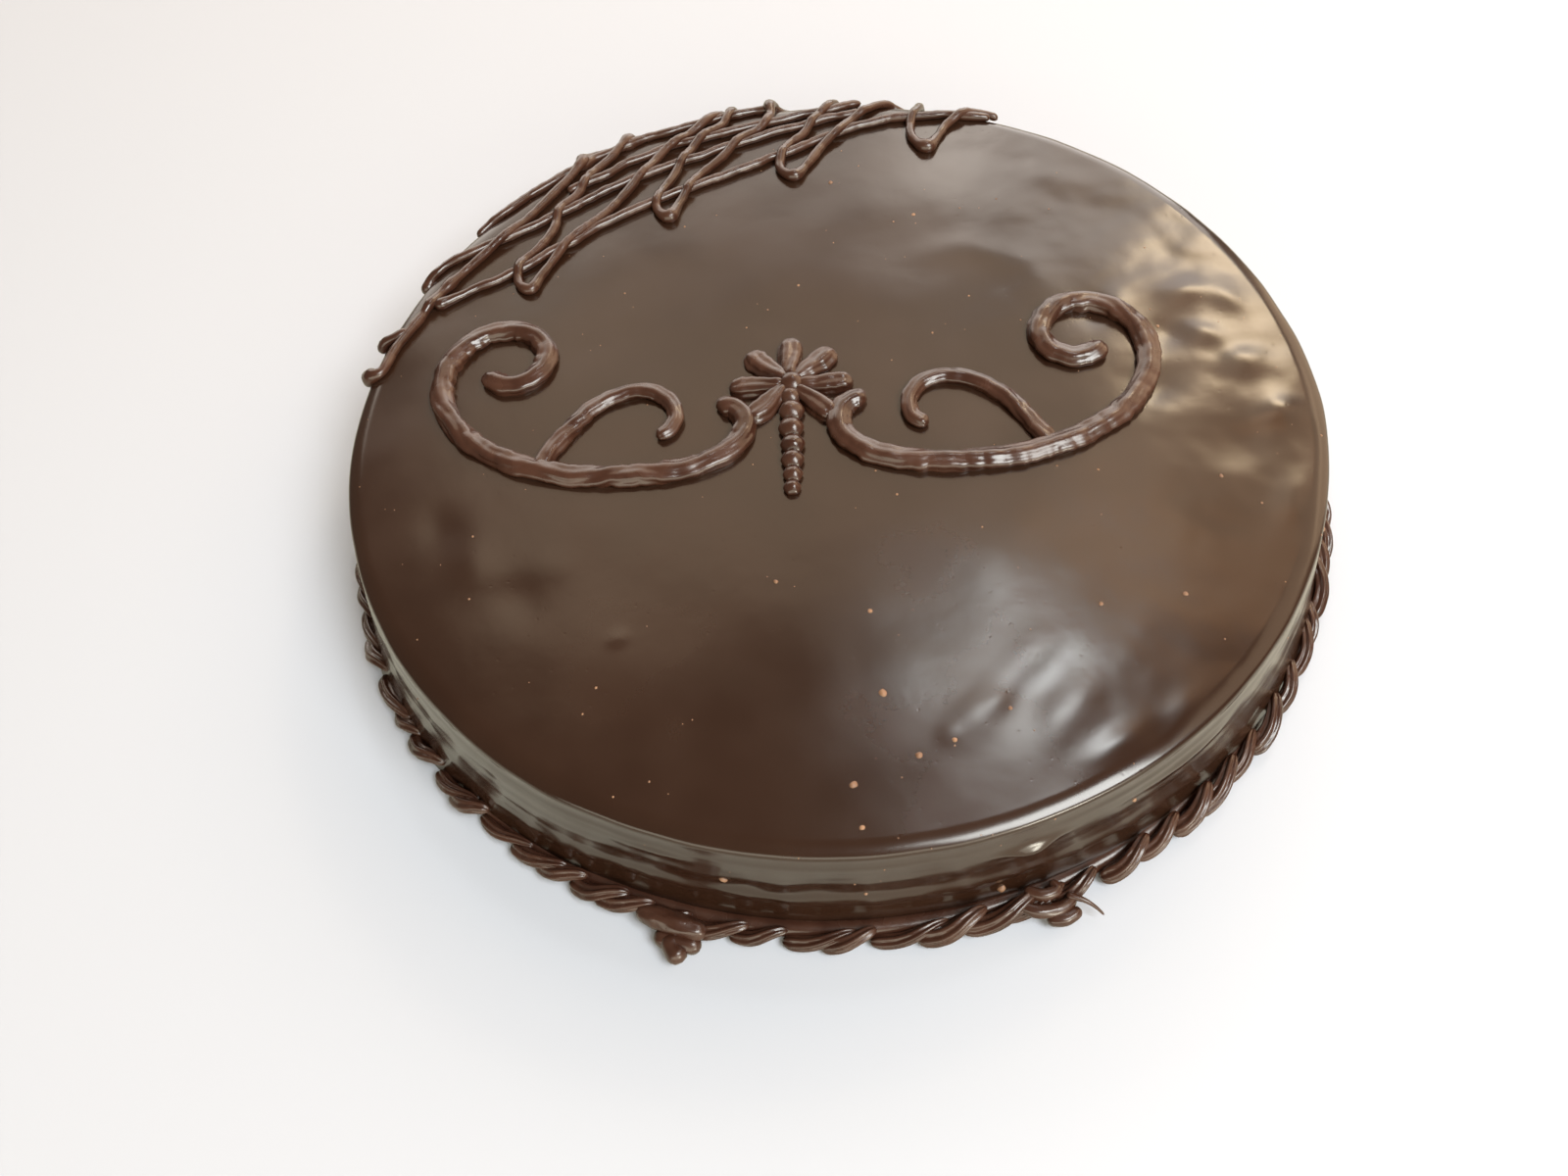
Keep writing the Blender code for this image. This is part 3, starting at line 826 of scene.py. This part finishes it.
# %% Where the border begins and ends
END_BEADS = (
    # points in mm (from the middle, and up from the table), widths in mm, ridges, sides
    (((-57.5, -114, 4.4), (-53, -116.2, 4.6), (-48, -118.8, 4.8), (-42, -121.4, 4.4)),
     (4, 5.8, 6, 4.2), 0.16, 20),
    (((-54, -119.6, 2.8), (-49, -121.8, 2.8), (-43.5, -123.6, 2.8)), (4.4, 5, 4.2), 0.12, 20),
    (((-51, -120, 3.6), (-50, -123, 3.2), (-48.6, -125.4, 3), (-47.9, -126.6, 2.9)),
     (4.4, 4.4, 5.2, 5.6), 0, 20),
    (((29, -120, 6), (32.5, -122, 6.9), (36, -121, 6.6), (34.8, -118.8, 6.4)),
     (2.6, 3, 2.8, 2), 0.1, 20),
    (((26.5, -122.5, 5.6), (31, -125, 5.4), (36, -124.8, 4.8), (40, -122.8, 4.6)),
     (2.6, 3.4, 3.2, 2.4), 0.12, 20),
    (((33, -126.2, 3), (37, -126.6, 3.2), (41, -125, 3.4)), (3.2, 3.6, 2.8), 0.12, 20),
    (((38, -122, 5.2), (41.5, -123.6, 5.4), (44, -125.2, 4.4), (45.8, -126.8, 3)),
     (2.2, 1.2, 0.8, 0.5), 0, 10),
)
END_STEP = 0.6 * MM
END_TWIST = 9 * MM


def bead_at(bm, points, widths, ridge, sides):
    """A free bead through points in mm, with a width in mm at each."""
    path = smooth_path([Vector(p) * MM for p in points], END_STEP)
    ways = travelled(path)
    marks = travelled([Vector(p) * MM for p in points])
    stations = frames(path, [UP] * len(path))
    width_at = along_list(list(zip(marks, widths)))
    fat = []
    for way in ways:
        wide = width_at(way / ways[-1]) * MM
        fat.append(wide * rounded_end(way, ways[-1], wide / 2))

    def section(index, turn):
        half = fat[index] / 2 * star(turn + ways[index] / END_TWIST, ridge)
        return half, half

    roll(bm, stations, sides, section)


def make_border_ends():
    """The long bead, its run-out and its blob at the front left, the knot and wisp at the right."""
    bm = bmesh.new()
    for points, widths, ridge, sides in END_BEADS:
        bead_at(bm, points, widths, ridge, sides)
    return finish_piece(bm, "border_ends", PIPED, "piped_border")


make_border_ends()

# %% [markdown]
# On the top lies the thick piping: two scrolls on their backs, each with a tendril, and between
# them a daisy with a row of drops for its stalk. It was made with a star nozzle, so ridges run along
# every bead, and it was made by hand, so they waver and the bead swells and thins.

# %% Where the flourish runs
BEAD_WIDTH = 6.4
PIPED_HEIGHT = 3.7
PIPED_STEP = 0.7
FLOURISH_AT = (-9 * MM, 2 * MM)
FLOURISH_TILT = radians(-5)
SCROLL_AT = (41, -22)
SCROLL_BEND = 0.012
INNER_ARM = (47, 0.215, 2.5)
OUTER_ARM = (132, 0.132, 2.0)
TENDRIL_FROM = (64, -19)
TENDRIL = (60, 0.17, 1.6)
TENDRIL_HEADING = radians(118)
TENDRIL_WIDTH = 5.0
TENDRIL_HEIGHT = 3.0
FLOWER_AT = (0, 5)
PETALS = 8
PETAL = ((1.5, 3.4), (5.0, 5.2), (9.0, 6.8), (12.5, 7.0), (16.0, 6.2))
DROPS = ((0.9, 5.6), (-4, 6.6), (-9.4, 6.4), (-14.6, 6.0), (-19.4, 5.5), (-23.8, 5.0), (-27.8, 4.4))


def curl(start, heading, bend, arm):
    """Plan points of an arm, in mm, that bends more and more tightly until it curls up."""
    length, added, late = arm
    steps = round(length / PIPED_STEP)
    place, points = Vector(start), []
    for step in range(steps):
        heading += (bend + added * ((step + 0.5) / steps) ** late) * length / steps
        place = place + Vector((cos(heading), sin(heading))) * length / steps
        points.append(place)
    return points


def scroll():
    """A scroll lying on its back: flat in the middle and curled up at both ends."""
    middle = Vector(SCROLL_AT)
    inner = curl((0, 0), 0, SCROLL_BEND, INNER_ARM)
    outer = curl((0, 0), 0, SCROLL_BEND, OUTER_ARM)
    left = [middle + Vector((-p.x, p.y)) for p in reversed(inner)]
    return left + [middle] + [middle + p for p in outer]


def flourish_place(point):
    """A point of the flourish's own plan, in mm, set on the cake's plan."""
    c, s = cos(FLOURISH_TILT), sin(FLOURISH_TILT)
    x, y = point * MM
    return Vector((FLOURISH_AT[0] + x * c - y * s, FLOURISH_AT[1] + x * s + y * c))


print("a scroll takes", round(travelled(scroll())[-1]), "mm of bead")

# %% A bead of the flourish
BEAD_SIDES = 36
BEAD_LOBES = 5
BEAD_HIGH = 0.74  # height of a bead as a share of its width
BEAD_SET = 0.42  # share of its width that its middle lies lower

# how strong and how long, in mm: the hand's stray and tremble, the bead's swell and pulse, the
# rise and fall of the nozzle, the ridges' twist, and the crimps of the bead
STRAY, STRAY_LENGTH, TREMBLE_LENGTH = 0.45, 11, 3
SWELLS, SWELL_LENGTH, PULSES, PULSE_LENGTH = 0.10, 8, 0.09, 2.6
BOB, BOB_LENGTH = 0.25, 3.5
TWIST, TWIST_LENGTH = 1.5, 18
CRIMP, CRIMP_LENGTH = 0.12, 1.9


def pipe_bead(bm, points, width_at, height, seed, groove=0.15, tremble=0.28):
    """A grooved bead along plan points in mm; width_at(share of the way) is in mm."""
    ways = travelled(points)
    total = ways[-1]
    placed, widths, lifts = [], [], []
    for index, (point, way) in enumerate(zip(points, ways)):
        ahead = points[min(index + 1, len(points) - 1)] - points[max(index - 1, 0)]
        across = Vector((-ahead.y, ahead.x)).normalized()
        stray = STRAY * hand(way, STRAY_LENGTH, seed, 3) + tremble * hand(way, TREMBLE_LENGTH, seed, 4)
        placed.append(flourish_place(point + across * stray))
        swell = 1 + SWELLS * hand(way, SWELL_LENGTH, seed, 0) + PULSES * hand(way, PULSE_LENGTH, seed, 9)
        wide = width_at(way / total) * swell
        widths.append(wide * rounded_end(way, total, wide / 2) * MM)
        lifts.append((height - wide * BEAD_SET + BOB * hand(way, BOB_LENGTH, seed, 12)) * MM)
    centres = [on_glaze(p.x, p.y, lift) for p, lift in zip(placed, lifts)]
    stations = frames(centres, [UP] * len(centres))

    def section(index, turn):
        way = ways[index]
        twist = TWIST * hand(way, TWIST_LENGTH, seed, 20)
        crimp = 1 + CRIMP * max(0.0, sin(turn)) * hand(way, CRIMP_LENGTH, seed, 30)
        half = widths[index] / 2 * star(turn + twist, groove, BEAD_LOBES) * crimp
        return half, BEAD_HIGH * half

    roll(bm, stations, BEAD_SIDES, section)


print("a bead has", BEAD_LOBES, "lobes")

# %% Pipe the flourish
PETAL_STEP = 0.5


def make_flourish():
    """Both scrolls with their tendrils, then the petals."""
    bm = bmesh.new()
    tendril = [Vector(TENDRIL_FROM)] + curl(TENDRIL_FROM, TENDRIL_HEADING, 0, TENDRIL)
    for side in (-1, 1):
        seed = 40 + 10 * side
        flip = [Vector((side * p.x, p.y)) for p in tendril]
        pipe_bead(bm, flip, lambda share: TENDRIL_WIDTH * (1.08 - 0.2 * share), TENDRIL_HEIGHT, seed + 1)
        flip = [Vector((side * p.x, p.y)) for p in scroll()]
        pipe_bead(bm, flip, lambda share: BEAD_WIDTH, PIPED_HEIGHT, seed)
    for petal in range(PETALS):
        if petal == PETALS // 2:
            continue
        way = QUARTER + tau * petal / PETALS
        ray = Vector((cos(way), sin(way)))
        first, last = PETAL[0][0], PETAL[-1][0]
        steps = round((last - first) / PETAL_STEP)
        outs = [first + (last - first) * step / steps for step in range(steps + 1)]
        points = [Vector(FLOWER_AT) + ray * out for out in outs]
        pipe_bead(bm, points, along_list(PETAL), PIPED_HEIGHT - 0.2, 60 + petal, 0.2, 0.15)
    return finish_piece(bm, "ridged_flourish", PIPED, "piped_flourish")


make_flourish()

# %% [markdown]
# A drop is piped straight down and the nozzle pulled up, which leaves a round button with a small
# point that sinks back. Each is a ball flattened below, with its top drawn up and leaned over.

# %% The drops of the flourish
EYE = (5, 6.6)  # place and width of the drop in the flower's middle
DROP_HIGH = 0.70
DROP_UP = 0.2  # share of its width from the glaze to its middle
PEAK_FROM = 0.55  # share of the height at which the point begins
PEAK = 0.40 * MM
LEAN = 0.5
DROP_RIDGE = 0.05


def drop_on(bm, place, width, lean):
    """A drop at a plan place, its width in mm, with its point leaned one way."""
    ball = bmesh.ops.create_uvsphere(bm, u_segments=24, v_segments=16, radius=width * MM / 2)
    base = on_glaze(place.x, place.y)
    for vert in ball["verts"]:
        up = vert.co.z / (width * MM / 2)
        x, y, z = vert.co
        peak = max(0.0, up - PEAK_FROM) / (1 - PEAK_FROM)
        ridge = 1 + DROP_RIDGE * cos(STAR_POINTS * atan2(y, x)) * (1 - abs(up))
        z = z * DROP_HIGH + PEAK * peak * peak
        shift = lean * MM * LEAN * peak * peak
        vert.co = base + Vector((x * ridge + shift.x, y * ridge + shift.y, z + width * MM * DROP_UP))


def make_drops():
    """The row of drops below the flower, and the one in its middle."""
    rng = random.Random(3)
    bm = bmesh.new()
    for height, width in DROPS + (EYE,):
        place = flourish_place(Vector((rng.uniform(-0.3, 0.3), height)))
        wide = width * rng.uniform(0.97, 1.05)
        drop_on(bm, place, wide, Vector((rng.uniform(-1, 1), rng.uniform(-1, 1))))
    return finish_piece(bm, "piped_drops", PIPED, "piped_flourish")


make_drops()

# %% [markdown]
# Small crumbs of sponge and burst bubbles show as pale specks in the glaze. Each is a tiny rough
# ball, sunk more than half way, in a pale tan that is the crumbs' own colour and, on the bubbles, a
# painted glint. The ones that catch the eye are placed, the rest are strewn.

# %% Crumbs in the glaze
SPECKS = (
    # x, y, size in mm; past the edge the way runs down the wall
    (10.5, 83.5, 1.3), (32, 66, 1.2), (2.5, -62, 1.3), (2.5, -83, 2.0), (8, -98.5, 1.7),
    (-6.5, -103.5, 1.8), (-6, -113, 1.3), (-18, -51.5, 1.2), (54, -67, 1.1), (73, -67, 1.2),
    (88, 14, 1.0), (90, -36, 1.1), (97, -45, 0.9), (-3, 43, 0.9), (62, -30, 0.8), (30, 20, 0.8),
    (-40.4, -128.3, 1.9), (28.9, -144.6, 2.2), (57.6, -118.2, 1.2), (-7.2, -138.3, 1.0),
    (123.3, -49.8, 1.6), (16, -96, 1.2), (29, -90, 1.1), (-60, -74, 0.8),
)
STREWN = 150
STREWN_REACH = 1.08  # in radii; past 1 they lie on the wall
SMALLEST, SIZE_SPREAD = 0.32, 0.5
SUNK = 0.18
ROUGH = 0.3
LARGE = 0.9  # crumbs above this size get more faces

# warm tan and dull: the crumbs' own colour under a film of glaze, and a painted glint on the bubbles
SPECK_TAN_AND_GLINT = toned("crumb_tan_and_painted_glint", (0.13, 0.055, 0.026), (0.30, 0.15, 0.07), 150, (0.45, 0.6))


def make_specks():
    """Small rough balls, each turned its own way and sunk in the glaze."""
    rng = random.Random(21)
    bm = bmesh.new()
    strewn = []
    while len(strewn) < STREWN:
        way, angle = CAKE_RADIUS * sqrt(rng.random()) * STREWN_REACH, rng.uniform(0, tau)
        size = SMALLEST + SIZE_SPREAD * rng.random() ** 3
        strewn.append((way * cos(angle) / MM, way * sin(angle) / MM, size))
    for x, y, size in SPECKS + tuple(strewn):
        centre = on_glaze(x * MM, y * MM, -size * SUNK * MM)
        turn = Matrix.Rotation(rng.uniform(0, tau), 4, "Z")
        turn = turn @ Matrix.Rotation(rng.uniform(0, 3), 4, "X")
        detail = 2 if size > LARGE else 1
        ball = bmesh.ops.create_icosphere(bm, subdivisions=detail, radius=size * MM / 2, matrix=turn)
        for vert in ball["verts"]:
            rough = 1 + ROUGH * noise.noise(vert.co / (0.5 * size * MM) + Vector((x, y, 0)))
            vert.co = centre + vert.co * rough
    return finish_piece(bm, "crumbs_and_glint_specks", SPECK_TAN_AND_GLINT, "glazed_cake")


make_specks()

# %% [markdown]
# The stage is a plain pale floor. The wall of the cake mirrors it, so its brightness matters to the
# glaze as much as the lamps do. The glaze sees it creamier than the camera does, as if it were
# paper close to the cake.

# %% The floor
FLOOR_HALF = 4
SEEN_TONE = (0.485, 0.472, 0.482, 1)
MIRRORED_TONE = (0.52, 0.485, 0.395, 1)


def make_floor():
    """One flat square, whose tone depends on whether it is seen or mirrored."""
    bm = bmesh.new()
    bmesh.ops.create_grid(bm, x_segments=1, y_segments=1, size=FLOOR_HALF)
    mesh = bpy.data.meshes.new("floor")
    bm.to_mesh(mesh)
    bm.free()
    pale = bpy.data.materials.new("pale_floor")
    pale.use_nodes = True
    tree = pale.node_tree
    shader = tree.nodes["Principled BSDF"]
    path = tree.nodes.new("ShaderNodeLightPath")
    tint = tree.nodes.new("ShaderNodeMix")
    tint.data_type = "RGBA"
    tint.inputs[6].default_value = SEEN_TONE
    tint.inputs[7].default_value = MIRRORED_TONE
    tree.links.new(path.outputs["Is Glossy Ray"], tint.inputs["Factor"])
    tree.links.new(tint.outputs[2], shader.inputs["Base Color"])
    shader.inputs["Roughness"].default_value = 0.75
    shader.inputs["Specular IOR Level"].default_value = 0.2
    mesh.materials.append(pale)
    place_object("floor", mesh)


make_floor()
print("floor laid")

# %% [markdown]
# Light decides how chocolate looks, because the glaze mirrors its surroundings softly. So the room
# is built from soft panels, each placed where the real glaze shows a bright field: a window and a
# pale wall low behind, warm walls and a warm lamp to the right, a patch of ceiling for the soft
# glow, and a wide pale wall on the near side. Two lamps hang at the front right, one for the crisp
# line along the near rim, and a low one, seen in reflections alone, for the spot on the wall.

# %% The light
def panel(name, azimuth, rise, away, width, height, face, colour, mirrored_only=False):
    """A soft panel that faces the cake; the face's brightness doesn't change with its size."""
    azimuth, rise = radians(azimuth), radians(rise)
    level = cos(rise)
    way = Vector((cos(azimuth) * level, sin(azimuth) * level, sin(rise)))
    light = bpy.data.lights.new(name, "AREA")
    light.shape = "RECTANGLE"
    light.size, light.size_y = width, height
    light.energy = face * pi * width * height
    light.color = colour
    made = place_object(name, light)
    made.location = way * away
    made.rotation_euler = (-way).to_track_quat("-Z", "Y").to_euler()
    made.visible_camera = False
    made.visible_diffuse = not mirrored_only
    print(name, round(light.energy, 1), "W")


panel("back_window", 66, 22, 2, 0.85, 1.4, 4, (1, 0.96, 0.92))
panel("back_wall", 102, 21, 2.2, 1.8, 1.56, 3, (1, 0.94, 0.88))
panel("ceiling_back", 85, 52, 2, 1.36, 0.6, 1.8, (1, 0.84, 0.65))
panel("warm_wall", 52, 44, 2, 0.5, 0.34, 0.8, (1, 0.5, 0.24))
panel("warm_lamp", 56, 40.5, 2, 0.3, 0.22, 17, (1, 0.84, 0.58))
panel("warm_right", 28, 17, 1.8, 1.1, 1.08, 2.4, (1, 0.76, 0.52))
panel("side_fill", 14, 43, 1.8, 1.6, 0.95, 1.6, (1, 0.78, 0.56))
panel("front_warm", 53, 56, 2, 0.4, 0.22, 2.3, (1, 0.56, 0.28))
panel("near_wall", -90, 20, 2.6, 6, 1.6, 3.2, (0.97, 1, 0.88))
panel("ceiling_patch", 61.5, 65.5, 1.3, 0.15, 0.12, 27, (0.8, 0.91, 1))
panel("rim_lamp", -46, 54, 1.38, 0.6, 0.62, 22, (0.84, 0.93, 1))
panel("low_lamp", -59, 11.6, 1.62, 0.35, 0.25, 28, (0.97, 1, 0.94), mirrored_only=True)

# %% The room around the panels
def make_room():
    """A dim warm room for the glaze to mirror, which the camera itself sees as pale."""
    world = bpy.data.worlds.new("room")
    world.use_nodes = True
    tree = world.node_tree
    dim, pale = tree.nodes["Background"], tree.nodes.new("ShaderNodeBackground")
    dim.inputs["Color"].default_value = (1.0, 0.88, 0.74, 1)
    dim.inputs["Strength"].default_value = 0.22
    pale.inputs["Color"].default_value = (0.94, 0.86, 0.93, 1)
    seen, mix = tree.nodes.new("ShaderNodeLightPath"), tree.nodes.new("ShaderNodeMixShader")
    tree.links.new(seen.outputs["Is Camera Ray"], mix.inputs["Fac"])
    tree.links.new(dim.outputs[0], mix.inputs[1])
    tree.links.new(pale.outputs[0], mix.inputs[2])
    tree.links.new(mix.outputs[0], tree.nodes["World Output"].inputs["Surface"])
    SCENE.world = world
    SCENE.view_settings.view_transform = "Standard"


make_room()

# %% [markdown]
# The camera stands where the photographer did: close, looking down steeply, and held a little
# askew. Its height, distance and roll come from fitting the outline of the round.

# %% The camera
CAMERA_RISE = radians(57.447)
CAMERA_AWAY = 0.32475
CAMERA_AIM = Vector((-0.01626, -0.03030, 0))
CAMERA_ROLL = radians(-6.519)
LENS = 28.125


def make_camera():
    """Sets the camera up from the way it looks, and turns it about that way by its roll."""
    back = Vector((0, -cos(CAMERA_RISE), sin(CAMERA_RISE)))
    level = Vector((1, 0, 0))
    up = back.cross(level)
    right = cos(CAMERA_ROLL) * level + sin(CAMERA_ROLL) * up
    above = back.cross(right)
    turn = Matrix((right, above, back)).transposed().to_4x4()
    camera = place_object("camera", bpy.data.cameras.new("camera"))
    camera.matrix_world = Matrix.Translation(CAMERA_AIM + back * CAMERA_AWAY) @ turn
    camera.data.sensor_width = 36
    camera.data.lens = LENS
    camera.data.clip_start = 0.01
    SCENE.camera = camera


make_camera()
print("camera", [round(v, 4) for v in SCENE.camera.location])
